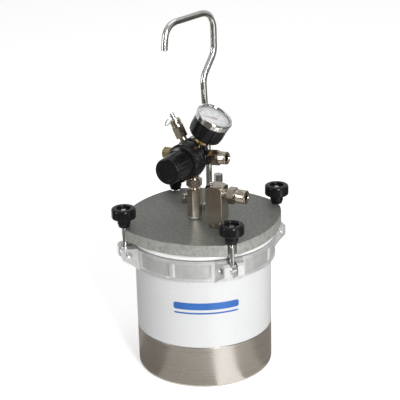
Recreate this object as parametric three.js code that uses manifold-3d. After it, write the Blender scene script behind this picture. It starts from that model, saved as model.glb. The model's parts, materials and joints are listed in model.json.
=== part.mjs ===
// Pressure feed pot: a two-quart cup whose lid is clamped by four swing bolts, with an air regulator,
// a gauge, a safety valve, a fluid outlet with its dip tube, and a hook to hang it by.
// Millimetres, +Z up. The origin is the centre of the cup's flat bottom. The fluid outlet points to +X
// and the regulator's knob to -Y.
import * as THREE from "three";
import { mergeVertices } from "three/addons/utils/BufferGeometryUtils.js";
import Module from "manifold-3d";

const wasm = await Module();
wasm.setup();

// ---- driving dimensions ----
const GAP = 0.3; // clearance between pieces that touch
const CUP_R = 75; // outer radius of the bare steel band
const CUP_WALL = 1.2;
const SLEEVE_WALL = 0.7;
const SEAM_Z = 48.6; // top of the bare band
const RIM_Z = 158.3; // top of the cup's rolled rim
const RIM_HEIGHT = 6.4;
const RIM_R = 80.2;
const RING_TOP_Z = 151.5;
const RING_BOTTOM_Z = 127.8;
const RING_IN_R = 76;
const RING_OUT_R = 81;
const LID_BOTTOM_Z = 159.2;
const LID_TOP_Z = 172.5;
const LID_SIDE = 83.8; // centre to the middle of a side
const LID_CORNER = 89.5; // centre to a corner flat
const LID_FLAT = 15.4; // width of a corner flat
const SLOT_R = 5.2; // half the width of a bolt's slot in the lid
const BOLT_R = 88.5; // centre to a swing bolt's axis
const PIVOT_Z = 144.2;
const BOLT_ROD_R = 2.8;
const KNOB_TOP_Z = 194.6;
const KNOB_R = 13.4;
const KNOB_FLANGE_Z = 183; // underside of the knob's head
const LIFT_GAP = 0.6; // knob foot to lid, so that the bolt can swing
const POST = new THREE.Vector2(-4.5, -8.2); // air inlet post, under the regulator
const OUTLET = new THREE.Vector2(28.2, -22.5); // fluid outlet block
const OUTLET_Z = 209.4;
const OUTLET_END = 34.6; // block's middle to the end of its fitting
const BLOCK_SIDE = 19.05;
const BLOCK_Z = [178.2, 219];
const PLUG = new THREE.Vector2(-34, 31); // capped spare port
const HOOK = new THREE.Vector2(0, 20); // foot of the hook's rod
const BLEED = new THREE.Vector2(12.4, 17); // bleed valve
const BLEED_TOP_Z = 216;
const HOOK_ROD_R = 3.5;
const HOOK_HEADING = 254; // degrees from +X: the way that the hook's nose points
const REGULATOR_Z = 242;
const REGULATOR_YAW = 4.5; // degrees that the knob's axis is turned from -Y towards -X
const BODY_R = 19.6; // regulator barrel
const BOSS_L = 20.5; // regulator axis to the face of a port's boss
const PORT_T = 3; // where the gauge and the safety valve lie along the regulator's axis
const SIDE_T = 1; // where the inlet and the side plug lie along it
const CAP_T = -4; // where the capped port lies along it
const CAP_L = 18; // regulator axis to the face of its boss
const INLET_ANGLE = 6; // port directions round the regulator's axis, from its right, seen from the knob
const GAUGE_ANGLE = 59.6;
const CAP_ANGLE = 95;
const VALVE_ANGLE = 117.6;
const SIDE_PLUG_ANGLE = 181;
const GAUGE_R = 20; // gauge bezel
const GAUGE_FRONT = 58.4; // regulator axis to the bezel's front
const GAUGE_ZERO = 225; // degrees at which the needle rests, counted from the dial's right
const STEM_HOLE = 49.4; // regulator axis to the pull ring's hole in the valve's stem
const RING_LEAN = 30; // degrees from vertical at which the pull ring rests on the valve's shoulder

// ---- materials ----
const finish = (color, roughness, metalness, more = {}) =>
  new THREE.MeshStandardMaterial({ color, roughness, metalness, ...more });
const STEEL = finish(0xa39a8c, 0.38, 0.9);
const BRIGHT = finish(0xc9c8c0, 0.25, 0.95);
const WHITE = finish(0xf2f3f4, 0.35, 0.0);
const CAST = finish(0xc4c7c6, 0.45, 0.8);
const LID_GREY = finish(0x8a8d86, 0.6, 0.5);
const NICKEL = finish(0x9a8f80, 0.3, 0.9);
const BRASS = finish(0xb08a45, 0.35, 0.9);
const BLACK = finish(0x0d0d0e, 0.3, 0.0);
const ZINC = finish(0xb4b8ae, 0.3, 0.9);
const RUBBER = finish(0x1c1c1c, 0.8, 0.0);
const CHROME = finish(0xdcdedd, 0.12, 1.0);
const DIAL_WHITE = finish(0xf4f3ee, 0.6, 0.0);
const RED = finish(0xb3241c, 0.5, 0.0);
const GLASS = finish(0xeef4f4, 0.05, 0.0, { transparent: true, opacity: 0.3 });

// ---- shapes ----
const pot = new THREE.Group();
const Z = new THREE.Vector3(0, 0, 1);
const rad = THREE.MathUtils.degToRad;

// A turned solid about +Z from [radius, height] points: from axis to axis, or round a closed section.
function turned(profile, segments = 32) {
  const points = profile.map(([r, z]) => new THREE.Vector2(r, z));
  if (THREE.ShapeUtils.area(points) < 0) points.reverse();
  if (points[0].x > 0) points.push(points[0].clone());
  return new THREE.LatheGeometry(points, segments).rotateX(Math.PI / 2);
}

const rod = (r, z0, z1, segments = 24) => turned([[0, z0], [r, z0], [r, z1], [0, z1]], segments);

const sleeve = (inner, outer, z0, z1, segments = 24) =>
  turned([[inner, z0], [outer, z0], [outer, z1], [inner, z1]], segments);

// A hexagonal prism about +Z, measured across its flats.
function hex(acrossFlats, z0, z1, turn = 0) {
  const r = acrossFlats / Math.sqrt(3);
  return new THREE.CylinderGeometry(r, r, z1 - z0, 6)
    .rotateX(Math.PI / 2)
    .rotateZ(rad(turn))
    .translate(0, 0, (z0 + z1) / 2);
}

const block = (x0, x1, y0, y1, z0, z1) =>
  new THREE.BoxGeometry(x1 - x0, y1 - y0, z1 - z0)
    .translate((x0 + x1) / 2, (y0 + y1) / 2, (z0 + z1) / 2);

// A flat outline of [x, y] points, raised from z0 to z1.
const raised = (points, z0, z1) =>
  new THREE.ExtrudeGeometry(new THREE.Shape(points.map(([x, y]) => new THREE.Vector2(x, y))), {
    depth: z1 - z0,
    bevelEnabled: false,
  }).translate(0, 0, z0);

// A round bar bent along a curve.
function bar(curve, radius, sides, steps) {
  const section = new THREE.Shape();
  for (let i = 0; i < sides; i++) {
    const a = (2 * Math.PI * i) / sides;
    const method = i ? "lineTo" : "moveTo";
    section[method](radius * Math.cos(a), radius * Math.sin(a));
  }
  section.closePath();
  return new THREE.ExtrudeGeometry(section, { steps, extrudePath: curve, bevelEnabled: false });
}

// A curve through straight stretches whose corners are rounded by the given radii.
function roundedPath(corners, radii) {
  const path = new THREE.CurvePath();
  let from = corners[0];
  radii.forEach((radius, i) => {
    const [before, corner, after] = corners.slice(i, i + 3);
    const inward = corner.clone().sub(before).normalize();
    const outward = after.clone().sub(corner).normalize();
    const trim = radius * Math.tan(inward.angleTo(outward) / 2);
    const start = corner.clone().addScaledVector(inward, -trim);
    const end = corner.clone().addScaledVector(outward, trim);
    path.add(new THREE.LineCurve3(from, start));
    path.add(new THREE.QuadraticBezierCurve3(start, corner, end));
    from = end;
  });
  path.add(new THREE.LineCurve3(from, corners.at(-1)));
  return path;
}

function solid(geometry) {
  const bare = geometry.clone();
  bare.deleteAttribute("normal");
  bare.deleteAttribute("uv");
  const merged = mergeVertices(bare, 1e-4);
  return new wasm.Manifold(
    new wasm.Mesh({
      numProp: 3,
      vertProperties: new Float32Array(merged.attributes.position.array),
      triVerts: new Uint32Array(merged.index.array),
    }),
  );
}

function geometryOf(made) {
  const mesh = made.getMesh();
  const geometry = new THREE.BufferGeometry();
  geometry.setAttribute("position", new THREE.BufferAttribute(new Float32Array(mesh.vertProperties), 3));
  geometry.setIndex(new THREE.BufferAttribute(new Uint32Array(mesh.triVerts), 1));
  return geometry;
}

const joined = (...shapes) => geometryOf(shapes.map(solid).reduce((a, b) => a.add(b)));

const cut = (shape, ...tools) =>
  geometryOf(tools.map(solid).reduce((left, tool) => left.subtract(tool), solid(shape)));

const common = (a, b) => geometryOf(solid(a).intersect(solid(b)));

function piece(name, geometry, material, parent = pot) {
  const mesh = new THREE.Mesh(geometry, material.clone());
  mesh.name = name;
  parent.add(mesh);
  return mesh;
}

// A group at a place, with its +Z along the given direction.
function frameAt(place, direction = Z, parent = pot) {
  const group = new THREE.Group();
  group.position.copy(place);
  group.quaternion.setFromUnitVectors(Z, direction.clone().normalize());
  parent.add(group);
  return group;
}

const over = (spot, z = 0) => new THREE.Vector3(spot.x, spot.y, z);

// ---- cup ----
function cup() {
  const upper = CUP_R - 1.1; // the wall behind the sleeve
  const inner = upper - CUP_WALL;
  const shell = turned([
    [0, 0],
    [CUP_R - 2.2, 0],
    [CUP_R, 2.2],
    [CUP_R, SEAM_Z],
    [upper, SEAM_Z],
    [upper, RIM_Z - RIM_HEIGHT],
    [RIM_R - 1.6, RIM_Z - RIM_HEIGHT],
    [RIM_R, RIM_Z - RIM_HEIGHT + 2],
    [RIM_R, RIM_Z - 2],
    [RIM_R - 1.6, RIM_Z],
    [inner, RIM_Z],
    [inner, 3],
    [inner - 1.5, 1.5],
    [0, 1.5],
  ], 48);
  piece("cup_shell", shell, STEEL);
  const under = upper + GAP;
  piece("cup_sleeve", sleeve(under, under + SLEEVE_WALL, SEAM_Z + GAP, RING_TOP_Z - 2, 48), WHITE);
}

// ---- clamp ring, with its four pairs of ears ----
function ears(turn) {
  const plan = raised([[72, -17], [80, -15.5], [94.5, -10.9], [94.5, 10.9], [80, 15.5], [72, 17]],
    RING_BOTTOM_Z, RING_TOP_Z);
  // Side view, with x outwards and y up, stood on edge across the ears.
  const side = raised([[70, RING_BOTTOM_Z], [80, RING_BOTTOM_Z], [86, 133], [94.5, PIVOT_Z - 6],
    [94.5, RING_TOP_Z - 2.5], [92, RING_TOP_Z], [70, RING_TOP_Z]], -20, 20).rotateX(Math.PI / 2);
  return common(plan, side).rotateZ(turn);
}

function clampRing() {
  const hoop = turned([
    [RING_IN_R, RING_BOTTOM_Z],
    [RING_OUT_R - 3, RING_BOTTOM_Z],
    [RING_OUT_R - 1.5, RING_BOTTOM_Z + 2],
    [RING_OUT_R, RING_TOP_Z - 3],
    [RING_OUT_R, RING_TOP_Z],
    [RING_IN_R, RING_TOP_Z],
  ], 48);
  const turns = [45, 135, 225, 315].map(rad);
  const blank = joined(hoop, ...turns.map(ears));
  const tools = turns.flatMap((turn) => [
    block(BOLT_R - 7.2, 110, -4.15, 4.15, 120, 160).rotateZ(turn),
    rod(2.3, -30, 30, 12).rotateX(Math.PI / 2).translate(BOLT_R, 0, PIVOT_Z).rotateZ(turn),
  ]);
  piece("clamp_ring", cut(blank, rod(RING_IN_R, 100, 170, 48), ...tools), CAST);
}

// ---- swing bolts ----
const CORNERS = { front_right: -45, rear_right: 45, rear_left: 135, front_left: 225 };

function swingBolt(corner, turn) {
  const place = new THREE.Group();
  place.rotation.z = rad(turn);
  pot.add(place);
  const axis = frameAt(new THREE.Vector3(BOLT_R, 0, 0), Z, place);
  const across = (shape) => shape.rotateX(Math.PI / 2).translate(0, 0, PIVOT_Z);

  piece("pivot_pin_" + corner, across(rod(2, -10.7, 10.7, 12)), STEEL, axis);

  const eye = across(rod(5.6, -3.6, 3.6, 16));
  const shank = rod(BOLT_ROD_R, PIVOT_Z, KNOB_TOP_Z - 2.2, 12);
  piece("swing_bolt_" + corner, cut(joined(eye, shank), across(rod(2.3, -5, 5, 12))), BRIGHT, axis);

  const foot = LID_TOP_Z + LIFT_GAP;
  const bore = BOLT_ROD_R + 2 * GAP + 1.6;
  const knob = turned([
    [bore, foot],
    [5.9, foot],
    [7.2, foot + 4.5],
    [7.2, KNOB_FLANGE_Z - 0.4],
    [KNOB_R - 1.4, KNOB_FLANGE_Z],
    [KNOB_R, KNOB_FLANGE_Z + 1.4],
    [KNOB_R, KNOB_TOP_Z - 1.6],
    [KNOB_R - 1.6, KNOB_TOP_Z],
    [7.2, KNOB_TOP_Z],
    [6.4, KNOB_TOP_Z - 4],
    [bore, KNOB_TOP_Z - 4],
  ], 20);
  piece("bolt_knob_" + corner, knob, BLACK, axis);
  piece("knob_insert_" + corner,
    sleeve(BOLT_ROD_R + GAP, bore - GAP, foot + 0.4, KNOB_TOP_Z - 4, 12), BRASS, axis);
}

// ---- lid ----
function lidOutline() {
  // One side is an arc through the side's middle and the ends of two corner flats.
  const half = Math.SQRT1_2;
  const endX = LID_CORNER * half + (LID_FLAT / 2) * half;
  const endY = LID_CORNER * half - (LID_FLAT / 2) * half;
  const back = (endX ** 2 + endY ** 2 - LID_SIDE ** 2) / (2 * (LID_SIDE - endX));
  const radius = LID_SIDE + back;
  const reach = Math.atan2(endY, endX + back);
  const points = [];
  for (let side = 0; side < 4; side++)
    for (let i = 0; i <= 8; i++) {
      const a = reach * (i / 4 - 1);
      const p = new THREE.Vector2(radius * Math.cos(a) - back, radius * Math.sin(a));
      p.rotateAround(new THREE.Vector2(), (side * Math.PI) / 2);
      points.push([p.x, p.y]);
    }
  return points;
}

function lid() {
  const slots = Object.values(CORNERS).flatMap((turn) => [
    block(BOLT_R, 110, -SLOT_R, SLOT_R, 150, 180).rotateZ(rad(turn)),
    rod(SLOT_R, 150, 180, 12).translate(BOLT_R, 0, 0).rotateZ(rad(turn)),
  ]);
  const hole = (spot, r) => rod(r + GAP, 150, 180, 16).translate(spot.x, spot.y, 0);
  const shape = cut(
    raised(lidOutline(), LID_BOTTOM_Z, LID_TOP_Z),
    ...slots,
    rod(69, 150, LID_TOP_Z - 7.5, 40),
    sleeve(73.5, 79.5, 150, LID_BOTTOM_Z + 2, 48),
    hole(POST, 4.4),
    hole(OUTLET, 8),
    hole(PLUG, 3.6),
    hole(HOOK, HOOK_ROD_R),
    hole(BLEED, 3),
  );
  piece("lid", shape, LID_GREY);
  piece("lid_gasket", sleeve(73.8, 79.2, RIM_Z + GAP, LID_BOTTOM_Z + 2 - GAP, 48), RUBBER);
}

// ---- fittings on the lid ----
function airPost() {
  const at = frameAt(over(POST));
  const body = joined(rod(4.4, 162, 175, 16), hex(14.2, 174.6, 206, 8), rod(4.4, 205, 214, 16));
  piece("air_post", cut(body, rod(2.4, 150, 230, 12)), NICKEL, at);
  piece("post_seal", sleeve(4.7, 6, LID_TOP_Z + GAP, 174.3, 20), WHITE, at);
  const regulatorPort = REGULATOR_Z - BOSS_L;
  const nut = joined(hex(15.4, 209, 217.4, 8), rod(5.2, 217, regulatorPort + 5, 16));
  piece("swivel_nut", cut(nut, rod(4.7, 200, 214.3, 16), rod(2.4, 205, 240, 12)), NICKEL, at);
}

function outletBlock() {
  const at = frameAt(over(OUTLET));
  const half = BLOCK_SIDE / 2;
  const square = block(-half, half, -half, half, ...BLOCK_Z);
  // The bar's ends are turned, which rounds off its corners there.
  const turnedEnds = turned([
    [0, BLOCK_Z[0]],
    [half, BLOCK_Z[0]],
    [half * 1.3, BLOCK_Z[0] + 2.2],
    [half * 1.3, BLOCK_Z[1] - 2.2],
    [half, BLOCK_Z[1]],
    [0, BLOCK_Z[1]],
  ], 24);
  const body = joined(common(square, turnedEnds), rod(8, 162, BLOCK_Z[0] + 1, 20));
  const socket = rod(6.2, 0, 20, 16).rotateY(Math.PI / 2).translate(half - 5, 0, OUTLET_Z);
  piece("outlet_block", cut(body, rod(4.8, 150, OUTLET_Z, 16), socket), NICKEL, at);
  piece("dip_tube", sleeve(3.4, 4.5, 6, 175, 16), STEEL, at);

  const nose = frameAt(new THREE.Vector3(0, 0, OUTLET_Z), new THREE.Vector3(1, 0, 0), at);
  const fitting = joined(
    rod(5.9, half - 4.6, 16, 16),
    hex(16.4, 14.6, 22.5),
    rod(6.4, 22, 24.4, 20),
    rod(7.5, 24, OUTLET_END, 20),
  );
  piece("outlet_fitting", cut(fitting, rod(4, 0, 50, 16)), NICKEL, nose);
}

function sparePort() {
  piece("spare_port_plug",
    joined(rod(3.6, 163, 173, 16), hex(10, LID_TOP_Z + GAP, 178), rod(3.6, 177, 182, 16)),
    NICKEL, frameAt(over(PLUG)));
}

// Its screw is turned back to let the pressure out before the lid comes off.
function bleedValve() {
  const at = frameAt(over(BLEED));
  const body = joined(rod(3, 163, 173, 16), hex(9.5, LID_TOP_Z + GAP, 180), rod(4.2, 179, 205.4, 16));
  piece("bleed_valve_body", cut(body, rod(1.2, 150, 220, 10), rod(2.4, 190, 220, 12)), ZINC, at);
  piece("bleed_screw", joined(rod(2.1, 190.3, 206, 12), hex(8.6, 205.7, BLEED_TOP_Z)), ZINC, at);
}

// ---- hook ----
function hook() {
  const heading = rad(HOOK_HEADING);
  // Points in the hook's own plane: distance towards the nose, and height.
  const at = (along, z) =>
    new THREE.Vector3(HOOK.x + along * Math.cos(heading), HOOK.y + along * Math.sin(heading), z);
  const path = roundedPath(
    [at(0, 163), at(0, 226), at(6, 323), at(-12.5, 347), at(-12.5, 392), at(61.5, 389.6), at(64.5, 363)],
    [60, 22, 20, 21, 19],
  );
  piece("hook_handle", bar(path, HOOK_ROD_R, 8, 64), ZINC);
  piece("hook_nut",
    cut(hex(13, LID_TOP_Z + GAP, 179, 10), rod(HOOK_ROD_R + GAP, 150, 220, 16)), ZINC, frameAt(over(HOOK)));
}

// ---- regulator: its own +Z runs out through the knob, +X to its right and +Y up ----
const regulator = new THREE.Group();
regulator.position.set(POST.x, POST.y, REGULATOR_Z);
regulator.rotation.set(Math.PI / 2, -rad(REGULATOR_YAW), 0, "ZXY");
pot.add(regulator);

// A port's frame, at its place on the regulator's axis, with +Z out of the port.
const port = (angle, t = PORT_T) =>
  frameAt(
    new THREE.Vector3(0, 0, t),
    new THREE.Vector3(Math.cos(rad(angle)), Math.sin(rad(angle)), 0),
    regulator,
  );

function regulatorBody() {
  const core = turned([
    [0, -9],
    [13, -9],
    [14, -8],
    [14, 5],
    [BODY_R - 3, 5],
    [BODY_R, 7],
    [BODY_R, 17],
    [0, 17],
  ], 32);
  // A bar from near the axis out along a port.
  const towards = (angle, t, r, from, to) =>
    rod(r, from, to, 16)
      .applyQuaternion(new THREE.Quaternion().setFromUnitVectors(
        Z, new THREE.Vector3(Math.cos(rad(angle)), Math.sin(rad(angle)), 0)))
      .translate(0, 0, t);
  // Each port: direction, place along the axis, boss radius, socket radius, and where the boss ends.
  const ports = [
    [INLET_ANGLE, SIDE_T, 8.4, 6.3],
    [SIDE_PLUG_ANGLE, SIDE_T, 8.4, 4.8],
    [GAUGE_ANGLE, PORT_T, 7.6, 4.8],
    [CAP_ANGLE, CAP_T, 4.8, 3.3, CAP_L],
    [VALVE_ANGLE, PORT_T, 6.8, 4.6],
    [270, 0, 8, 5.5],
  ];
  const blank = joined(core, ...ports.map(([angle, t, boss, , end = BOSS_L]) =>
    towards(angle, t, boss, 6, end - 0.4)));
  piece("regulator_body", cut(blank,
    ...ports.map(([angle, t, , socket, end = BOSS_L]) => towards(angle, t, socket, end - 6, 40)),
    towards(CAP_ANGLE, CAP_T, 4.7, CAP_L - GAP, 40), // spot face for the cap's head
    rod(14, 11, 20, 20), // diaphragm chamber
    rod(2.2, 0, 20, 12), // valve seat
    rod(6.2, -20, 4, 16), // poppet chamber
  ), BLACK, regulator);
  piece("regulator_diaphragm", rod(17, 17 + GAP, 17.9, 24), RUBBER, regulator);
  piece("regulator_bonnet", turned([
    [10, 18.2],
    [BODY_R, 18.2],
    [BODY_R, 22],
    [BODY_R - 2.4, 24],
    [12.2, 24.8],
    [12.2, 35],
    [3.7, 35],
    [3.7, 32.4],
    [10, 32.4],
  ], 32), BLACK, regulator);
  piece("regulator_spring", sleeve(5.6, 8.4, 18.4, 24.2, 16), BRIGHT, regulator);
  piece("adjusting_screw", joined(rod(8.6, 24.5, 26.2, 20), rod(3.2, 25, 47, 12)), STEEL, regulator);
  piece("regulator_knob", turned([
    [12.7, 26.4],
    [14.4, 26.4],
    [14.8, 29],
    [14.1, 54],
    [12.6, 55.5],
    [0, 55.5],
    [0, 51.5],
    [3.7, 51.5],
    [3.7, 36.6],
    [12.7, 36.6],
  ], 30), BLACK, regulator);
  piece("valve_cap", turned([
    [0, -15],
    [8.5, -15],
    [9.5, -14],
    [9.5, -9.3],
    [5.9, -9.3],
    [5.9, -7],
    [0, -7],
  ], 20), BLACK, regulator);
  piece("poppet_valve", joined(rod(4.4, 1.2, 3.6, 16), rod(1.6, 3, 16.8, 10)), BRASS, regulator);
  piece("poppet_spring", sleeve(2.6, 4.2, -6.6, -0.2, 12), BRIGHT, regulator);
}

function inletFitting() {
  const fitting = joined(
    rod(5.9, BOSS_L - 5.6, 24, 16),
    hex(15.2, 23, 32),
    rod(5.8, 31, 34, 20),
    rod(6.9, 32.2, 41.8, 20),
  );
  piece("inlet_fitting", cut(fitting, rod(3.6, 10, 60, 16)), NICKEL, port(INLET_ANGLE, SIDE_T));
}

function sidePlugs() {
  piece("side_plug",
    joined(rod(4.4, BOSS_L - 5.6, 25, 12), hex(12, 24.4, 35), rod(5, 34, 36.4, 16)),
    BRASS, port(SIDE_PLUG_ANGLE, SIDE_T));
  piece("gauge_port_plug", turned([
    [0, CAP_L - 5.6],
    [2.9, CAP_L - 5.6],
    [2.9, CAP_L],
    [4.4, CAP_L],
    [4.4, CAP_L + 2.2],
    [3.6, CAP_L + 3],
    [0, CAP_L + 3],
  ], 16), STEEL, port(CAP_ANGLE, CAP_T));
}

// ---- gauge: +Z out of its dial ----
function gauge() {
  const at = port(GAUGE_ANGLE);
  const back = GAUGE_FRONT - 28.3;
  piece("gauge_socket",
    joined(
      rod(4.4, BOSS_L - 5.6, back + 6, 16),
      hex(11.4, BOSS_L + 1, BOSS_L + 6),
      block(-5, 5, -4, 4, back + 4, back + 12),
    ), BRASS, at);
  const rim = GAUGE_FRONT - 3.2;
  piece("gauge_case", turned([
    [4.7, back],
    [14.5, back],
    [17.8, back + 1.4],
    [19, back + 4.6],
    [19, rim],
    [17.8, rim],
    [17.8, back + 5],
    [16.2, back + 2],
    [14.2, back + 1.3],
    [4.7, back + 1.3],
  ], 32), BLACK, at);
  piece("gauge_bezel", turned([
    [19.3, GAUGE_FRONT - 7],
    [GAUGE_R, GAUGE_FRONT - 7],
    [GAUGE_R, GAUGE_FRONT - 1.2],
    [GAUGE_R - 1.2, GAUGE_FRONT],
    [17.2, GAUGE_FRONT],
    [16.6, GAUGE_FRONT - 1.6],
    [19.3, GAUGE_FRONT - 1.6],
  ], 36), CHROME, at);
  piece("gauge_dial", sleeve(1.2, 17.4, rim - 2, rim - 1.4, 28), DIAL_WHITE, at);
  piece("gauge_lens", rod(18.9, rim + GAP, rim + 1.2, 28), GLASS, at);
  const pointer = raised([[-4.5, -0.9], [0, -0.9], [12.4, -0.25], [12.4, 0.25], [0, 0.9], [-4.5, 0.9]],
    rim - 1.0, rim - 0.5).rotateZ(rad(GAUGE_ZERO));
  piece("gauge_needle", joined(pointer, rod(1.9, rim - 1.0, rim - 0.3, 12), rod(0.8, rim - 6, rim - 0.6, 8)),
    RED, at);
  const arc = new THREE.EllipseCurve(0, 0, 12.5, 12.5, rad(-60), rad(190)).getPoints(12);
  const bend = new THREE.CatmullRomCurve3(arc.map((p) => new THREE.Vector3(p.x, p.y, back + 14)));
  piece("bourdon_tube", bar(bend, 1.9, 6, 14), BRASS, at);
}

// ---- safety valve: +Z out along its stem ----
function safetyValve() {
  const at = port(VALVE_ANGLE);
  piece("safety_valve_body", cut(
    joined(
      rod(4.2, BOSS_L - 5.6, 25, 16),
      hex(12.4, 23.6, 35.6),
      rod(6.6, 35.2, 37, 20),
      rod(6, 36.6, 43.4, 20),
      rod(5.4, 43, 45, 16),
    ),
    rod(2.2, 10, 30, 12),
    rod(4.6, 26, 43, 16),
    rod(2.5, 40, 60, 12),
  ), NICKEL, at);
  piece("safety_valve_spring", sleeve(2.6, 4.1, 32.4, 42.7, 12), BRIGHT, at);
  const pin = rod(1, -10, 10, 8).applyQuaternion(
    new THREE.Quaternion().setFromUnitVectors(Z, ringAxisIn(at)));
  piece("safety_valve_stem",
    cut(joined(rod(4, 26.6, 29, 16), rod(2.2, 28, 52, 12)), pin.translate(0, 0, STEM_HOLE)), STEEL, at);
}

// The pull ring's hinge runs along the regulator's axis, seen in the valve's own frame.
function ringAxisIn(valve) {
  return new THREE.Vector3(0, 0, 1).applyQuaternion(valve.quaternion.clone().invert());
}

function pullRing() {
  const hole = port(VALVE_ANGLE);
  const centre = new THREE.Vector3(0, 0, STEM_HOLE).applyQuaternion(hole.quaternion).add(hole.position);
  // From the hole the ring hangs down and away from the valve, in the plane of the hinge.
  const lean = rad(270 - RING_LEAN);
  const down = new THREE.Vector3(Math.cos(lean), Math.sin(lean), 0);
  const ringR = 7.2;
  const at = frameAt(centre.addScaledVector(down, ringR), Z, regulator);
  const ring = new THREE.TorusGeometry(ringR, 0.6, 6, 24);
  const basis = new THREE.Matrix4().makeBasis(down, Z, down.clone().cross(Z));
  piece("pull_ring", ring.applyMatrix4(basis), BRIGHT, at);
}

cup();
clampRing();
Object.entries(CORNERS).forEach(([corner, turn]) => swingBolt(corner, turn));
lid();
airPost();
outletBlock();
sparePort();
bleedValve();
hook();
regulatorBody();
inletFitting();
sidePlugs();
gauge();
safetyValve();
pullRing();

export default pot;
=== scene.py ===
"""The looks of a pressure feed pot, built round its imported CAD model.

Shapes are written in millimetres and become metres when a piece is made. Places and axes come from the
frame's joints and boxes. Most pieces are turned or milled on an axis, so they are rings of points stacked
along that axis, from a list of stations.
"""

import json
import math

import bmesh
import bpy
from mathutils import Matrix, Vector


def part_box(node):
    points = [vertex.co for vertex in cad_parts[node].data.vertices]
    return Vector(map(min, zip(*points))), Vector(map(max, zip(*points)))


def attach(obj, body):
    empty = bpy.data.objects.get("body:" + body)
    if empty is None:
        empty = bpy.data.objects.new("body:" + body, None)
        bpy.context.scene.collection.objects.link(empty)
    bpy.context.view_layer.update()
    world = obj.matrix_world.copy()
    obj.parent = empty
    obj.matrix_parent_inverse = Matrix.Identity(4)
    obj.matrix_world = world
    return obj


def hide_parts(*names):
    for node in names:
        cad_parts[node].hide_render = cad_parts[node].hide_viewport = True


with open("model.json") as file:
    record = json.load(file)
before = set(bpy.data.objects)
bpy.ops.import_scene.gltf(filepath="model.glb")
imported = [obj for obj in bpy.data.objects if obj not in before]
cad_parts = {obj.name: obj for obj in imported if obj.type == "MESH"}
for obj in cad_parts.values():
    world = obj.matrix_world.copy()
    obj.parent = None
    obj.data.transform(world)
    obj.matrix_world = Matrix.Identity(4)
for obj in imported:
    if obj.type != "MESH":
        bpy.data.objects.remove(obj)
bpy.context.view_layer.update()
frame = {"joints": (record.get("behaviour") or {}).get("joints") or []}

MM = 0.001
CORNERS = ("front_right", "rear_right", "rear_left", "front_left")
JOINTS = {j["name"]: j for j in frame["joints"]}
UP = Vector((0, 0, 1))


# ---------------------------------------------------------------- places, in millimetres
def spot(joint):
    return Vector(JOINTS[joint]["pos_m"]) / MM


def axis(joint):
    return Vector(JOINTS[joint]["axis"]).normalized()


def middle(node):
    low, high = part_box(node)
    return (low + high) / (2 * MM)


def top(node):
    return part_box(node)[1].z / MM


def bottom(node):
    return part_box(node)[0].z / MM


def over(node):
    """The point at the origin's height under a node's middle."""
    at = middle(node)
    return Vector((at.x, at.y, 0))


def placed(origin, out=UP, side=Vector((1, 0, 0))):
    """The matrix of a frame at origin whose +Z is out and whose +X is as near to side as it can be."""
    z = Vector(out).normalized()
    x = (Vector(side) - z * Vector(side).dot(z)).normalized()
    y = z.cross(x)
    made = Matrix((x, y, z)).transposed().to_4x4()
    made.translation = Vector(origin)
    return made


KNOB_AXIS = axis("regulator_knob_turn")  # out of the regulator through its knob
RIGHT = UP.cross(KNOB_AXIS)  # the regulator's right, seen from its knob
REGULATOR = spot("regulator_knob_turn")
GAUGE_OUT = -axis("gauge_needle_turn")
VALVE_OUT = axis("safety_valve_lift")


def port_direction(degrees):
    """A direction round the regulator's axis, counted from its right towards up."""
    a = math.radians(degrees)
    return RIGHT * math.cos(a) + UP * math.sin(a)


def port(out, along):
    """A port's frame: along is its place on the regulator's axis."""
    return placed(REGULATOR + KNOB_AXIS * along, out, KNOB_AXIS)


# ---------------------------------------------------------------- stations of a turned piece
def rounded(points, fillet, closed=False):
    """Points (r, z) or (r, z, fillet) with an arc at each corner that isn't on the axis."""
    count = len(points)
    made = []
    for i, point in enumerate(points):
        here = Vector(point[:2])
        size = point[2] if len(point) > 2 else fillet
        inside = closed or 0 < i < count - 1
        if not inside or size <= 0 or here.x < 1e-6:
            made.append(tuple(here))
            continue
        before = Vector(points[i - 1][:2]) - here
        after = Vector(points[(i + 1) % count][:2]) - here
        reach = min(before.length, after.length) * 0.49
        turn = before.angle(after, math.pi)
        if reach < 1e-4 or turn > math.radians(172):
            made.append(tuple(here))
            continue
        trim = min(size / math.tan(turn / 2), reach)
        start = here + before.normalized() * trim
        end = here + after.normalized() * trim
        steps = 2 if trim < 0.35 else 4
        for k in range(steps + 1):
            t = k / steps
            made.append(tuple(start * (1 - t) ** 2 + here * 2 * t * (1 - t) + end * t * t))
    return made


def flats(sides, across, z0, z1, slope=0.5, cut=1.0, corner=0.0, turn=0.0):
    """A prism of so many sides with turned ends: stations from z0 to z1, whose radius depends on the angle."""
    apothem = across / 2
    half = math.pi / sides
    circle = apothem * cut
    tangent = math.atan((apothem - corner) * math.tan(half) / apothem)

    def radius(angle):
        b = (angle - math.radians(turn) + half) % (2 * half) - half
        if corner and abs(b) > tangent:
            away = (apothem - corner) / math.cos(half)
            off = half - abs(b)
            return away * math.cos(off) + math.sqrt(max(0, corner ** 2 - (away * math.sin(off)) ** 2))
        return apothem / math.cos(b)

    way = 1 if z1 > z0 else -1

    def edge(z, sign):
        return lambda a: (radius(a), z + sign * slope * max(0.0, radius(a) - circle))

    return [(circle, z0), edge(z0, way), edge(z1, -way), (circle, z1)]


def hexagon(across, z0, z1, turn=0.0):
    return flats(6, across, z0, z1, slope=0.5, cut=0.97, corner=0.25, turn=turn)


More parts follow.
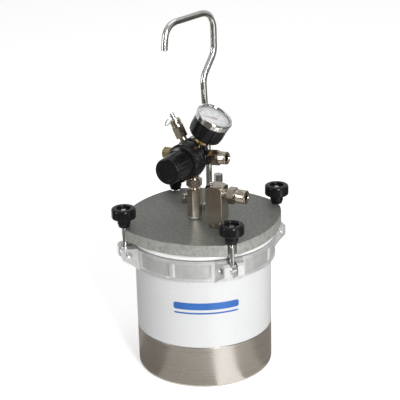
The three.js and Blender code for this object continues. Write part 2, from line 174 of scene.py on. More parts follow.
def thread(r, z0, z1, pitch, depth):
    """A screw thread as stations from z0 to z1."""
    steps = max(6, round(abs(z1 - z0) / pitch * 6))
    low, high = min(z0, z1), max(z0, z1)

    def row(z):
        fade = min(1.0, (z - low) / (0.8 * pitch), (high - z) / (0.8 * pitch))

        def place(a):
            wave = abs(((z / pitch - a / (2 * math.pi)) % 1) * 2 - 1)
            return r - depth * max(0.0, fade) * wave, z

        return place

    return [row(z0 + (z1 - z0) * k / steps) for k in range(steps + 1)]


def stations(profile, fillet, closed):
    """A profile's plain points, rounded, between its runs of ready stations."""
    if all(isinstance(item, tuple) for item in profile):
        return rounded(profile, fillet, closed)
    made, run = [], []
    for item in profile:
        if isinstance(item, tuple):
            run.append(item)
        else:
            made += rounded(run, fillet) + item
            run = []
    return made + rounded(run, fillet)


# ---------------------------------------------------------------- meshes
def revolve(profile, n=96, fillet=0.3, closed=False, phase=0.0):
    """A solid of stations about +Z. Closed joins the last to the first, as round a ring's section."""
    mesh = bmesh.new()
    rings = []
    for station in stations(profile, fillet, closed):
        if isinstance(station, tuple) and station[0] < 1e-6:
            rings.append([mesh.verts.new((0, 0, station[1]))])
            continue
        ring = []
        for i in range(n):
            a = math.radians(phase) + 2 * math.pi * i / n
            r, z = station(a) if callable(station) else station
            ring.append(mesh.verts.new((r * math.cos(a), r * math.sin(a), z)))
        rings.append(ring)
    pairs = list(zip(rings, rings[1:])) + ([(rings[-1], rings[0])] if closed else [])
    for low, high in pairs:
        join_rings(mesh, low, high)
    return mesh


def join_rings(mesh, low, high):
    count = max(len(low), len(high))
    if count == 1:
        return
    for i in range(count):
        j = (i + 1) % count
        if len(low) == 1:
            mesh.faces.new((low[0], high[j], high[i]))
        elif len(high) == 1:
            mesh.faces.new((low[i], low[j], high[0]))
        else:
            mesh.faces.new((low[i], low[j], high[j], high[i]))


def prism(outline, z0, z1, bevel=0.0, segments=3):
    """A flat outline of (x, y) points raised from z0 to z1, with its long edges rounded."""
    mesh = bmesh.new()
    face = mesh.faces.new([mesh.verts.new((x, y, z0)) for x, y in outline])
    raised = bmesh.ops.extrude_face_region(mesh, geom=[face])
    moved = [v for v in raised["geom"] if isinstance(v, bmesh.types.BMVert)]
    bmesh.ops.translate(mesh, verts=moved, vec=(0, 0, z1 - z0))
    if bevel:
        rims = [e for e in mesh.edges if abs(e.verts[0].co.z - e.verts[1].co.z) < 1e-6]
        bmesh.ops.bevel(mesh, geom=rims, offset=bevel, segments=segments, profile=0.5, affect="EDGES")
    return mesh


def sweep(points, radius, sides=16, closed=False, squash=1.0, domed=False):
    """A round bar along points. squash narrows it across its first normal, and domed rounds off its ends."""
    mesh = bmesh.new()
    path = [Vector(p) for p in points]
    count = len(path)
    rings, normal = [], None
    for i, here in enumerate(path):
        before = path[i - 1] if closed or i else here
        after = path[(i + 1) % count] if closed or i < count - 1 else here
        along = (after - before).normalized()
        if normal is None:
            normal = along.orthogonal().normalized()
        normal = (normal - along * normal.dot(along)).normalized()
        across = along.cross(normal)
        rings.append((here, along, normal, across))
    if domed:
        rings = dome(rings, radius, -1) + rings[1:-1] + dome(rings, radius, 1)
    made = []
    for item in rings:
        here, _, normal, across = item[:4]
        size = radius * (item[4] if len(item) > 4 else 1)
        made.append([
            mesh.verts.new(here + normal * size * squash * math.cos(2 * math.pi * k / sides)
                           + across * size * math.sin(2 * math.pi * k / sides))
            for k in range(sides)
        ])
    pairs = list(zip(made, made[1:])) + ([(made[-1], made[0])] if closed else [])
    for low, high in pairs:
        join_rings(mesh, low, high)
    if not closed:
        mesh.faces.new(made[0])
        mesh.faces.new(made[-1])
    return mesh


def dome(rings, radius, way):
    """The rings of a bar's rounded end."""
    here, along, normal, across = rings[0 if way < 0 else -1][:4]
    made = []
    for k in range(5):
        a = math.radians(18 * k)
        place = here + along * way * radius * 0.4 * (math.sin(a) - 1)
        made.append((place, along, normal, across, max(0.15, math.cos(a))))
    return made[::-1] if way < 0 else made


def bent(corners, radii, steps=10):
    """Points through straight stretches whose corners are rounded by the given radii."""
    corners = [Vector(c) for c in corners]
    made = [corners[0]]
    for i, radius in enumerate(radii):
        before, corner, after = corners[i:i + 3]
        inward = (corner - before).normalized()
        outward = (after - corner).normalized()
        trim = radius * math.tan(inward.angle(outward) / 2)
        start, end = corner - inward * trim, corner + outward * trim
        for k in range(steps + 1):
            t = k / steps
            made.append(start * (1 - t) ** 2 + corner * 2 * t * (1 - t) + end * t * t)
    made.append(corners[-1])
    return made


def helix(r, z0, z1, turns, steps=20):
    """Points of a coil spring about +Z whose end turns lie closed."""
    made = []
    count = round(turns * steps)
    for k in range(count + 1):
        t = k / count
        closing = 1 / turns
        rise = min(1.0, max(0.0, (t - closing * 0.8) / (1 - 1.6 * closing)))
        a = 2 * math.pi * turns * t
        made.append((r * math.cos(a), r * math.sin(a), z0 + (z1 - z0) * rise))
    return made


# ---------------------------------------------------------------- pieces
def thing(name, mesh, at=None):
    """A Blender object from a mesh in millimetres, in its place."""
    bmesh.ops.recalc_face_normals(mesh, faces=mesh.faces)
    data = bpy.data.meshes.new(name)
    mesh.to_mesh(data)
    mesh.free()
    data.transform(Matrix.Scale(MM, 4) @ (at if at is not None else Matrix.Identity(4)))
    made = bpy.data.objects.new(name, data)
    bpy.context.scene.collection.objects.link(made)
    return made


def baked(made):
    """Applies an object's modifiers."""
    seen = made.evaluated_get(bpy.context.evaluated_depsgraph_get())
    data = bpy.data.meshes.new_from_object(seen)
    made.modifiers.clear()
    old = made.data
    made.data = data
    bpy.data.meshes.remove(old)
    return made


def combined(base, tools, operation):
    for tool in tools:
        step = base.modifiers.new("step", "BOOLEAN")
        step.operation = operation
        step.solver = "EXACT"
        step.object = tool
        baked(base)
        bpy.data.objects.remove(tool)
    return base


def joined(base, *tools):
    return combined(base, tools, "UNION")


def cut(base, *tools):
    return combined(base, tools, "DIFFERENCE")


def softened(made, width, segments=2, limit=35):
    """Rounds an object's sharp edges."""
    step = made.modifiers.new("edges", "BEVEL")
    step.width = width * MM
    step.segments = segments
    step.limit_method = "ANGLE"
    step.angle_limit = math.radians(limit)
    return baked(made)


def piece(made, body, slot, surface, *nodes, sharp=32):
    """Finishes an object: its shading, its material, the body that it rides on and what it stands for."""
    made.data.shade_smooth()
    made.data.set_sharp_from_angle(angle=math.radians(sharp))
    step = made.modifiers.new("normals", "WEIGHTED_NORMAL")
    step.keep_sharp = True
    step.weight = 100
    baked(made)
    made.data.materials.clear()
    made.data.materials.append(surface)
    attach(made, body)
    if nodes:
        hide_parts(*nodes)
    return made


def turned(name, profile, at, body, slot, surface, *nodes, **how):
    return piece(thing(name, revolve(profile, **how), at), body, slot, surface, *nodes)


# ---------------------------------------------------------------- materials
RIM_FOOT = 151.0  # the cup's rolled rim, painted lighter as a highlight, lies above this height
RING_TOP = top("clamp_ring")
RING_BOTTOM = bottom("clamp_ring")
RING_IN_R = 76.0
RING_OUT_R = 81.0
RING_DRAFT = 1.3  # how much narrower the ring's outside is at its bottom


def material(name, dark, light, metal, rough, spread=0.06, grain=300.0, stretch=(1, 1, 1), bump=0.05,
             bump_scale=900.0, coat=0.0, blotch=40.0, level=0.5):
    """A surface whose colour drifts between two tones, with fine grain in its roughness and its relief."""
    made = bpy.data.materials.new(name)
    made.use_nodes = True
    nodes, links = made.node_tree.nodes, made.node_tree.links
    shader = nodes["Principled BSDF"]
    shader.inputs["Metallic"].default_value = metal
    shader.inputs["Coat Weight"].default_value = coat
    shader.inputs["Specular IOR Level"].default_value = level
    shader.inputs["Coat Roughness"].default_value = 0.08
    place = nodes.new("ShaderNodeTexCoord")
    scaled = nodes.new("ShaderNodeMapping")
    scaled.inputs["Scale"].default_value = stretch
    links.new(place.outputs["Object"], scaled.inputs["Vector"])

    def noise(scale, detail, vector):
        node = nodes.new("ShaderNodeTexNoise")
        node.inputs["Scale"].default_value = scale
        node.inputs["Detail"].default_value = detail
        links.new(vector, node.inputs["Vector"])
        return node.outputs["Fac"]

    broad = noise(blotch, 3, place.outputs["Object"])
    fine = noise(grain, 4, scaled.outputs["Vector"])
    blend = nodes.new("ShaderNodeMath")
    blend.operation = "MULTIPLY_ADD"
    links.new(fine, blend.inputs[0])
    blend.inputs[1].default_value = 0.5
    links.new(broad, blend.inputs[2])
    tones = nodes.new("ShaderNodeValToRGB")
    tones.color_ramp.elements[0].position = 0.5
    tones.color_ramp.elements[0].color = (*dark, 1)
    tones.color_ramp.elements[1].position = 1.0
    tones.color_ramp.elements[1].color = (*light, 1)
    links.new(blend.outputs[0], tones.inputs["Fac"])
    links.new(tones.outputs["Color"], shader.inputs["Base Color"])
    polish = nodes.new("ShaderNodeMapRange")
    polish.inputs["From Min"].default_value = 0.3
    polish.inputs["From Max"].default_value = 0.7
    polish.inputs["To Min"].default_value = max(0.02, rough - spread)
    polish.inputs["To Max"].default_value = rough + spread
    links.new(fine, polish.inputs["Value"])
    links.new(polish.outputs["Result"], shader.inputs["Roughness"])
    if bump:
        relief = nodes.new("ShaderNodeBump")
        relief.inputs["Strength"].default_value = bump
        relief.inputs["Distance"].default_value = 0.00006
        links.new(noise(bump_scale, 3, scaled.outputs["Vector"]), relief.inputs["Height"])
        links.new(relief.outputs["Normal"], shader.inputs["Normal"])
    return made


def toned(made, mask, tone, rough=0.0, metal=None):
    """Scales a material's colour by tone, adds rough to its roughness and sets its metal where mask is 1."""
    nodes, links = made.node_tree.nodes, made.node_tree.links
    shader = nodes["Principled BSDF"]
    where = mask(nodes, links)
    plain = shader.inputs["Base Color"].links[0].from_socket
    scaled = nodes.new("ShaderNodeVectorMath")
    scaled.operation = "MULTIPLY"
    links.new(plain, scaled.inputs[0])
    scaled.inputs[1].default_value = tone
    mixed = nodes.new("ShaderNodeMix")
    mixed.data_type = "RGBA"
    links.new(where, mixed.inputs[0])
    links.new(plain, mixed.inputs[6])
    links.new(scaled.outputs["Vector"], mixed.inputs[7])
    links.new(mixed.outputs[2], shader.inputs["Base Color"])
    if rough:
        rougher = nodes.new("ShaderNodeMath")
        rougher.operation = "MULTIPLY_ADD"
        links.new(where, rougher.inputs[0])
        rougher.inputs[1].default_value = rough
        links.new(shader.inputs["Roughness"].links[0].from_socket, rougher.inputs[2])
        links.new(rougher.outputs[0], shader.inputs["Roughness"])
    if metal is not None:
        plain = shader.inputs["Metallic"].default_value
        links.new(ramp(nodes, links, where, 0, 1, plain, metal), shader.inputs["Metallic"])
    return made


def ramp(nodes, links, value, low, high, start=0.0, end=1.0):
    """A socket that runs from start to end as value runs from low to high."""
    made = nodes.new("ShaderNodeMapRange")
    made.inputs["From Min"].default_value = low
    made.inputs["From Max"].default_value = high
    made.inputs["To Min"].default_value = start
    made.inputs["To Max"].default_value = end
    links.new(value, made.inputs["Value"])
    return made.outputs["Result"]


def parts_of(nodes, links, output):
    """The x, y and z sockets of a texture coordinate."""
    place = nodes.new("ShaderNodeTexCoord")
    split = nodes.new("ShaderNodeSeparateXYZ")
    links.new(place.outputs[output], split.inputs[0])
    return split.outputs


def sides_painted_lighter(nodes, links):
    """Where the surface faces sideways rather than up: the mask of the lid's painted light, whose sides are
    coloured lighter than its top as if lit from the front.
    """
    return ramp(nodes, links, parts_of(nodes, links, "Normal")[2], 0.75, 0.35)


def rim_painted_highlight(nodes, links):
    """Where the surface is on the cup's rolled rim: the mask of a painted highlight, which colours the rim
    lighter and less metallic.
    """
    return ramp(nodes, links, parts_of(nodes, links, "Object")[2], (RIM_FOOT - 0.15) * MM,
                (RIM_FOOT + 0.15) * MM)


def panels_painted_shade(nodes, links):
    """Where the clamp ring's outside is set back behind its raised borders: the mask of painted shade, which
    darkens these recessed panels.
    """
    x, y, z = parts_of(nodes, links, "Object")
    flat = nodes.new("ShaderNodeCombineXYZ")
    links.new(x, flat.inputs[0])
    links.new(y, flat.inputs[1])
    reach = nodes.new("ShaderNodeVectorMath")
    reach.operation = "LENGTH"
    links.new(flat.outputs[0], reach.inputs[0])
    slope = RING_DRAFT / (RING_TOP - RING_BOTTOM)
    upright = nodes.new("ShaderNodeMath")  # the reach with the ring's draft taken out
    upright.operation = "MULTIPLY_ADD"
    links.new(z, upright.inputs[0])
    upright.inputs[1].default_value = -slope
    links.new(reach.outputs["Value"], upright.inputs[2])
    border = (RING_OUT_R - slope * RING_TOP) * MM
    return ramp(nodes, links, upright.outputs[0], border - 0.5 * MM, border - 1.4 * MM)


ROUND_THE_CUP = (0.02, 0.02, 3.0)  # grain that runs round an upright axis
# Painted highlight: the rolled rim's colour is raised by 1.32 to 1.5 and its metal dropped to 0.2, standing in
# for its bright reflection.
STEEL = toned(material("turned steel", (0.52, 0.49, 0.45), (0.60, 0.57, 0.53), 1.0, 0.3, spread=0.05,
                       grain=260,
                       stretch=ROUND_THE_CUP, bump=0.18, bump_scale=700, blotch=14), rim_painted_highlight,
                       (1.32, 1.4, 1.5), 0.12, 0.2)
ENAMEL = material("white enamel", (0.52, 0.525, 0.53), (0.56, 0.565, 0.57), 0.0, 0.32, grain=500, bump=0.15,
                  bump_scale=350, coat=0.25, blotch=8)
# Painted shade: the ring's recessed panels are darkened to 0.86 of the colour, as shade in the recesses.
CAST_RING = toned(material("die-cast aluminium", (0.64, 0.65, 0.65), (0.76, 0.77, 0.77), 0.7, 0.34, grain=900,
                           bump=0.6, bump_scale=1500, blotch=140), panels_painted_shade, (0.86, 0.86, 0.86), 0.08)
# Painted light: the lid's sides are coloured 1.6 times lighter than its top, as if lit from the front.
LID_CAST = toned(material("sand-cast lid", (0.135, 0.14, 0.128), (0.215, 0.22, 0.202), 0.25, 0.5, grain=1300,
                          bump=1.0, bump_scale=1700, blotch=260), sides_painted_lighter, (1.6, 1.6, 1.6))
BRIGHT = material("bright drawn steel", (0.62, 0.62, 0.61), (0.78, 0.78, 0.77), 1.0, 0.17, spread=0.04,
                  grain=700,
                  bump=0.1, bump_scale=2500)
PIN_STEEL = material("plain steel", (0.42, 0.41, 0.40), (0.60, 0.59, 0.57), 1.0, 0.3, grain=900, bump=0.2,
                     bump_scale=2500)
NICKEL = material("satin nickel", (0.52, 0.46, 0.38), (0.64, 0.58, 0.50), 1.0, 0.2, spread=0.04, grain=500,
                  bump=0.1, bump_scale=1500, blotch=60)
BRASS = material("brass", (0.60, 0.38, 0.13), (0.80, 0.56, 0.26), 1.0, 0.22, spread=0.04, grain=600, bump=0.1,
                 bump_scale=2200, blotch=120)
DULL_BRASS = material("tarnished brass", (0.30, 0.24, 0.12), (0.48, 0.41, 0.24), 1.0, 0.28, grain=600,
                      bump=0.15, bump_scale=2000, blotch=150)
ZINC = material("zinc plate", (0.56, 0.585, 0.56), (0.72, 0.74, 0.715), 1.0, 0.2, spread=0.04, grain=400,
                bump=0.15, bump_scale=1500, blotch=70)
GLOSS_BLACK = material("black moulding", (0.004, 0.004, 0.0045), (0.010, 0.010, 0.011), 0.0, 0.13,
                       spread=0.03,
                       grain=600, bump=0.08, bump_scale=1200, level=0.24)
BLACK_PAINT = material("black enamel", (0.004, 0.004, 0.005), (0.010, 0.010, 0.011), 0.0, 0.11, spread=0.03,
                       grain=500, bump=0.12, bump_scale=500, level=0.3)
CHROME = material("chrome", (0.72, 0.73, 0.74), (0.84, 0.85, 0.85), 1.0, 0.08, spread=0.02, grain=300,
                  bump=0.0)
RUBBER = material("black rubber", (0.014, 0.014, 0.014), (0.035, 0.035, 0.034), 0.0, 0.75, grain=900,
                  bump=0.6, bump_scale=2200)
PTFE = material("white seal", (0.74, 0.74, 0.72), (0.84, 0.84, 0.82), 0.0, 0.5, grain=600, bump=0.2)
DIAL = material("dial white", (0.60, 0.61, 0.605), (0.68, 0.685, 0.68), 0.0, 0.5, grain=1500, bump=0.05)
PRINT = material("dial print", (0.03, 0.03, 0.035), (0.07, 0.07, 0.075), 0.0, 0.55, grain=1500, bump=0.05)
RED = material("needle red", (0.16, 0.012, 0.01), (0.24, 0.02, 0.016), 0.0, 0.4, grain=900, bump=0.05)
BLUE = material("label blue", (0.010, 0.085, 0.32), (0.016, 0.12, 0.40), 0.0, 0.36, grain=700, bump=0.1,
                bump_scale=600, coat=0.2)


def glass():
    made = material("gauge glass", (0.95, 0.97, 0.97), (1, 1, 1), 0.0, 0.05, spread=0.02, grain=60, bump=0.0)
    shader = made.node_tree.nodes["Principled BSDF"]
    shader.inputs["Alpha"].default_value = 0.22
    shader.inputs["IOR"].default_value = 1.5
    return made


GLASS = glass()


# ---------------------------------------------------------------- cup
CUP_R = 75.0
CUP_WALL = 1.2
SEAM_Z = bottom("cup_sleeve") - 0.3
RIM_Z = top("cup_shell")
RIM_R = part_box("cup_shell")[1].x / MM
RIM_HEIGHT = 6.3
SLEEVE_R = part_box("cup_sleeve")[1].x / MM


def cup():
    wall = SLEEVE_R - 1.05
    inner = wall - CUP_WALL
    turned("cup", [
        (0, 0.9), (61, 0.9, 1.5), (65, 0.05, 1.5), (CUP_R, 0.05, 4.2), (CUP_R, SEAM_Z - 0.2, 0.4),
        (wall, SEAM_Z - 0.2, 0.2), (wall, RIM_Z - RIM_HEIGHT, 0.8), (RIM_R, RIM_Z - RIM_HEIGHT, 3.1),
        (RIM_R, RIM_Z, 3.1), (inner, RIM_Z, 1.4), (inner, 2.2, 5), (0, 2.2),
    ], None, "root", "cup_steel", STEEL, "cup_shell", n=192)
    low, high = SEAM_Z + 0.3, top("cup_sleeve")
    turned("cup_jacket", [(wall + 0.15, low), (SLEEVE_R, low, 0.35), (SLEEVE_R, high, 0.3),
                          (wall + 0.15, high)],
           None, "root", "cup_enamel", ENAMEL, "cup_sleeve", n=192, closed=True, fillet=0.1)
    label("label_bar", 93.5, 101.5, 36)
    label("label_line", 88.6, 90.4, 36)
    tube = over("dip_tube")
    turned("pickup_tube", [(3.4, 6.2), (4.5, 6.2), (4.5, top("dip_tube")), (3.4, top("dip_tube"))],
           placed(tube), "root", "cup_steel", STEEL, "dip_tube", n=48, closed=True)


LABEL_HEADING = -63.0  # degrees from +X to the middle of the label


def label(name, low, high, half_width):
    """A plain coloured bar on the jacket: a curved plate with rounded ends."""
    mesh = bmesh.new()
    corner = min(1.4, (high - low) / 2.2)
    columns = 40
    rings = []
    for k in range(columns + 1):
        x = -half_width + 2 * half_width * k / columns
        inset = max(0.0, abs(x) - half_width + corner)
        trim = corner - math.sqrt(max(0.0, corner ** 2 - inset ** 2))
        ring = []
        for r, z in ((0.0, low + trim), (0.16, low + trim), (0.16, high - trim), (0.0, high - trim)):
            a = math.radians(LABEL_HEADING) + x / SLEEVE_R
            out = SLEEVE_R - 0.04 + r
            ring.append(mesh.verts.new((out * math.cos(a), out * math.sin(a), z)))
        rings.append(ring)
    for a, b in zip(rings, rings[1:]):
        join_rings(mesh, a, b)
    mesh.faces.new(rings[0])
    mesh.faces.new(rings[-1])
    piece(thing(name, mesh), "root", "cup_enamel", BLUE)


# ---------------------------------------------------------------- clamp ring
BOLT_R = math.hypot(*spot("bolt_swing_rear_right").xy)
PIVOT_Z = spot("bolt_swing_rear_right").z


def step_between(x, low, high, soft):
    """1 inside low..high, falling smoothly to 0 over the soft width at each end."""
    t = max(0.0, min(1.0, min(x - low, high - x) / soft + 0.5))
    return t * t * (3 - 2 * t)


def clamp_ring():
    def ring_row(z):
        lift = (z - RING_BOTTOM) / (RING_TOP - RING_BOTTOM)
        draft = RING_OUT_R - RING_DRAFT * (1 - lift)
        edge = min(z - RING_BOTTOM, RING_TOP - z)
        if edge < 1.0:
            draft -= 1.0 - math.sqrt(max(0.0, 1 - (1 - edge) ** 2))

        def place(a):
            off = (math.degrees(a) + 45) % 90 - 45
            panel = step_between(abs(off), 2.2, 30.5, 1.4)
            return draft - 1.7 * panel * step_between(z, RING_BOTTOM + 3.6, RING_TOP - 4.2, 0.9), z

        return place

    heights = [RING_BOTTOM + (RING_TOP - RING_BOTTOM) * k / 34 for k in range(35)]
    profile = [(RING_IN_R, RING_BOTTOM)] + [[ring_row(z)] for z in heights] + [(RING_IN_R, RING_TOP)]
    hoop = thing("clamp_band", revolve(profile, n=360, closed=True))
    tools = []
    for quarter in range(4):
        turn = Matrix.Rotation(math.radians(45 + 90 * quarter), 4, "Z")
        joined(hoop, ears(turn))
        tools.append(thing("slot", prism([(BOLT_R - 7.2, -4.15), (110, -4.15), (110, 4.15),
                                          (BOLT_R - 7.2, 4.15)], 120, 160), turn))
        pin = turn @ placed((BOLT_R, 0, PIVOT_Z), (0, 1, 0))
        tools.append(thing("hole", revolve([(0, -14), (2.3, -14), (2.3, 14), (0, 14)], n=32, fillet=0), pin))
        for side in (-1, 1):
            at = turn @ placed((BOLT_R, 0, PIVOT_Z), (0, side, 0))
            spot_face = [(0, 9.6), (3.6, 9.6, 0.4), (3.6, 20), (0, 20)]
            tools.append(thing("spot_face", revolve(spot_face, n=40), at))
    tools.append(thing("bore", revolve([(0, 120), (RING_IN_R, 120), (RING_IN_R, 160), (0, 160)], n=360)))
    cut(hoop, *tools)
    softened(hoop, 0.35, limit=50)
    piece(hoop, "root", "ring_aluminium", CAST_RING, "clamp_ring", sharp=38)
    for corner in CORNERS:
        at = spot("bolt_swing_" + corner)
        turned("hinge_pin_" + corner, [(0, -10.6), (1.95, -10.6, 0.4), (1.95, 10.6, 0.4), (0, 10.6)],
               placed(at, axis("bolt_swing_" + corner)), "root", "pin_steel", PIN_STEEL,
               "pivot_pin_" + corner, n=32)


def ears(turn):
    """The pair of ears that holds a bolt's eye, before its slot is milled."""
    plan = thing("ears", prism([(74, -17.2), (80, -15.5), (94.5, -10.9), (94.5, 10.9), (80, 15.5),
                                (74, 17.2)],
                               RING_BOTTOM, RING_TOP))
    side = thing("side", prism([(70, RING_BOTTOM), (80, RING_BOTTOM), (86, 133), (94.5, PIVOT_Z - 6),
                                (94.5, RING_TOP - 2.5), (92, RING_TOP), (70, RING_TOP)], -20, 20),
                 placed((0, 0, 0), (0, -1, 0)))
    combined(plan, [side], "INTERSECT")
    softened(plan, 0.9, segments=3)
    plan.data.transform(turn)
    return plan


# ---------------------------------------------------------------- swing bolts
ROD_R = 2.8
KNOB_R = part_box("bolt_knob_front_right")[1].x / MM - middle("bolt_knob_front_right").x
KNOB_TOP = top("bolt_knob_front_right")
KNOB_FOOT = bottom("bolt_knob_front_right")


def swing_bolt(corner):
    pivot = spot("bolt_swing_" + corner)
    base = placed((pivot.x, pivot.y, 0))
    name = "swing_bolt_" + corner
    end = KNOB_TOP - 2.2
    shank = thing("eye_bolt_" + corner, revolve(
        [(0, PIVOT_Z), (ROD_R - 0.1, PIVOT_Z), (ROD_R - 0.1, KNOB_FOOT - 5)] + [thread(ROD_R,
                                                                                       KNOB_FOOT - 4.5,
                                                                                       end - 0.6, 1.27, 0.45)]
        + [(ROD_R - 0.6, end), (0, end)], n=48), base)
    across = placed(pivot, axis("bolt_swing_" + corner))
    eye = thing("eye", revolve([(0, -3.5), (5.6, -3.5, 0.7), (5.6, 3.5, 0.7), (0, 3.5)], n=48), across)
    hole = thing("hole", revolve([(0, -6), (2.25, -6), (2.25, 6), (0, 6)], n=32, fillet=0), across)
    joined(shank, eye)
    cut(shank, hole)
    piece(shank, name, "bright_steel", BRIGHT, name)

    bore = ROD_R + 2.2
    flange = 183.0
    turned("clamp_knob_" + corner, [
        (bore, KNOB_FOOT), (5.9, KNOB_FOOT, 0.5), (7.2, KNOB_FOOT + 4.5, 3), (7.1, flange - 0.2, 2.2),
        (KNOB_R - 0.8, flange + 0.1, 1.6), (KNOB_R, flange + 1.6, 1.2), (KNOB_R, KNOB_TOP, 2.6),
        (7.6, KNOB_TOP, 1.1), (6.8, KNOB_TOP - 4, 0.6), (bore, KNOB_TOP - 4, 0.2),
    ], base, "bolt_knob_" + corner, "knob_black", GLOSS_BLACK, "bolt_knob_" + corner, n=96, closed=True)
    turned("threaded_insert_" + corner, [
        (ROD_R + 0.25, KNOB_FOOT + 0.4), (bore - 0.1, KNOB_FOOT + 0.4), (bore - 0.1, KNOB_TOP - 4.1),
        (ROD_R + 0.25, KNOB_TOP - 4.1),
    ], base, "knob_insert_" + corner, "brass", BRASS, "knob_insert_" + corner, n=48, closed=True)


# ---------------------------------------------------------------- lid
LID_TOP = top("lid")
LID_BOTTOM = bottom("lid")
LID_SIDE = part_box("lid")[1].x / MM
LID_CORNER = 89.5
LID_FLAT = 15.4
SLOT_R = 5.2


def lid_outline():
    """Four arcs between corner flats, each flat with a round-bottomed slot for its bolt."""
    half = math.sqrt(0.5)
    end = Vector((LID_CORNER + LID_FLAT / 2, LID_CORNER - LID_FLAT / 2)) * half
    back = (end.x ** 2 + end.y ** 2 - LID_SIDE ** 2) / (2 * (LID_SIDE - end.x))
    reach = math.atan2(end.y, end.x + back)
    quarter = []
    for i in range(25):
        a = reach * (i / 12 - 1)
        quarter.append(Vector(((LID_SIDE + back) * math.cos(a) - back, (LID_SIDE + back) * math.sin(a))))
    along = Vector((half, half))
    left = Vector((-half, half))
    slot = [along * LID_CORNER - left * SLOT_R]
    for k in range(13):
        a = math.radians(-90 - 15 * k)
        slot.append(along * (BOLT_R + SLOT_R * math.cos(a)) + left * SLOT_R * math.sin(a))
    slot.append(along * LID_CORNER + left * SLOT_R)
    points = []
    for side in range(4):
        turn = Matrix.Rotation(math.pi / 2 * side, 2)
        points += [turn @ p for p in quarter + slot]
    return points


def lid():
    made = thing("lid_plate", prism(lid_outline(), LID_BOTTOM, LID_TOP, bevel=1.3))
    under = LID_TOP - 7.5
    tools = [
        thing("recess", revolve([(0, 150), (69, 150), (69, under, 3), (0, under)], n=128)),
        thing("groove", revolve([(73.5, 150), (79.5, 150), (79.5, LID_BOTTOM + 2), (73.5, LID_BOTTOM + 2)],
                                n=128, closed=True)),
    ]
    for node, r in (("air_post", 4.7), ("outlet_block", 8.3), ("spare_port_plug", 3.9), ("hook_nut", 3.8),
                    ("bleed_valve_body", 3.3)):
        tools.append(thing("hole", revolve([(0, 150), (r, 150), (r, 180), (0, 180)], n=48, fillet=0),
                           placed(over(node))))
    cut(made, *tools)
    piece(made, "root", "lid_casting", LID_CAST, "lid", sharp=40)
    low, high = bottom("lid_gasket"), top("lid_gasket")
    turned("flat_gasket", [(73.8, low), (79.2, low), (79.2, high), (73.8, high)], None, "root",
           "gasket_rubber", RUBBER, "lid_gasket", n=128, closed=True)


# ---------------------------------------------------------------- fittings on the lid
POST_TURN = 8.0


def air_post():
    at = placed(over("air_post"))
    turned("inlet_post", [
        (2.4, 162), (3.9, 162, 0.3), thread(4.4, 162.6, 172.6, 1.4, 0.5), (4.4, 173), (4.4, 174.6),
        hexagon(14.2, 174.6, 206, POST_TURN), (4.4, 206), (4.4, 214), (2.4, 214),
    ], at, "root", "nickel", NICKEL, "air_post", n=96, phase=POST_TURN, closed=True)
    low, high = bottom("post_seal"), top("post_seal")
    turned("post_washer", [(4.7, low), (6, low), (6, high), (4.7, high)], at, "root", "white_ptfe", PTFE,
           "post_seal", n=64, closed=True)
    up = top("swivel_nut")
    turned("union_nut", [
        (4.75, 209, 0.2), hexagon(15.4, 209, 217.4, POST_TURN), (5.2, 217.4), (5.2, up), (2.4, up, 0.1),
        (2.4, 214.3), (4.75, 214.3),
    ], at, "root", "nickel", NICKEL, "swivel_nut", n=96, phase=POST_TURN, closed=True)


def outlet():
    low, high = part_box("outlet_block")
    half = (high.x - low.x) / (2 * MM)
    ground = over("outlet_block")
    z1 = high.z / MM
    z0 = 178.2
    bar = thing("outlet_manifold", revolve([
        (4.8, 162), (7.5, 162, 0.3), thread(8, 162.8, 172.8, 1.8, 0.7), (8, 173.2), (8, z0),
        flats(4, 2 * half, z0, z1, slope=0.62, cut=1.04, corner=0.9), (0, z1), (0, z1 - 9.5), (4.8, z1 - 9.5),
    ], n=180, closed=True), placed(ground))
    out_z = middle("outlet_fitting").z
    socket = thing("socket", revolve([(0, half - 5), (6.2, half - 5), (6.2, 30), (0, 30)], n=64, fillet=0),
                   placed((ground.x, ground.y, out_z), (1, 0, 0)))
    cut(bar, socket)
    piece(bar, "root", "nickel", NICKEL, "outlet_block", sharp=40)
    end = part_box("outlet_fitting")[1].x / MM - ground.x
    turned("outlet_nipple", [
        (4.3, end), (4, end - 0.4), (4, half - 4.6), (5.9, half - 4.6), (5.9, 14.6),
        hexagon(16.4, 14.6, 22.5),
        (6.4, 22.5), (6.4, 24.2), thread(7.5, 24.2, end - 0.5, 1.4, 0.65), (6.9, end),
    ], placed((ground.x, ground.y, out_z), (1, 0, 0), UP), "root", "nickel", NICKEL, "outlet_fitting", n=96,
        closed=True)


def small_fittings():
    turned("spare_plug", [
        (0, 163), (3.1, 163, 0.3), thread(3.6, 163.6, 171.8, 1.2, 0.45), (3.6, 172.8),
        hexagon(10, 172.8, 178),
        (3.6, 178), (3.6, top("spare_port_plug"), 0.8), (0, top("spare_port_plug")),
    ], placed(over("spare_port_plug")), "root", "nickel", NICKEL, "spare_port_plug", n=72)
    low = bottom("bleed_screw")
    up = top("bleed_screw")
    at = placed(over("bleed_screw"))
    turned("bleed_body", [
        (1.2, 163), (3, 163, 0.3), (3, 172.8), hexagon(9.5, 172.8, 180), (4.2, 180, 0.8), (4.2, 196, 0.2),
        (3.7, 196.4, 0.2), (3.7, 198.2, 0.2), (4.2, 198.6, 0.2), (4.2, 205.4, 0.5), (2.4, 205.4), (2.4, 190),
        (1.2, 190),
    ], at, "root", "zinc", ZINC, "bleed_valve_body", n=72, closed=True)
    turned("bleed_bolt", [
        (0, low), (1.4, low + 0.2, 0.2), thread(2.1, low + 1, 204, 0.8, 0.3), (2.1, 204.5), (2.1, 205.7),
        (4.6, 205.75, 0.2), (4.6, 206.9, 0.2), hexagon(8.6, 207, up), (0, up),
    ], at, "bleed_screw", "zinc", ZINC, "bleed_screw", n=72)


# ---------------------------------------------------------------- hook
HOOK_R = 3.5
HOOK_HEADING = 254.0


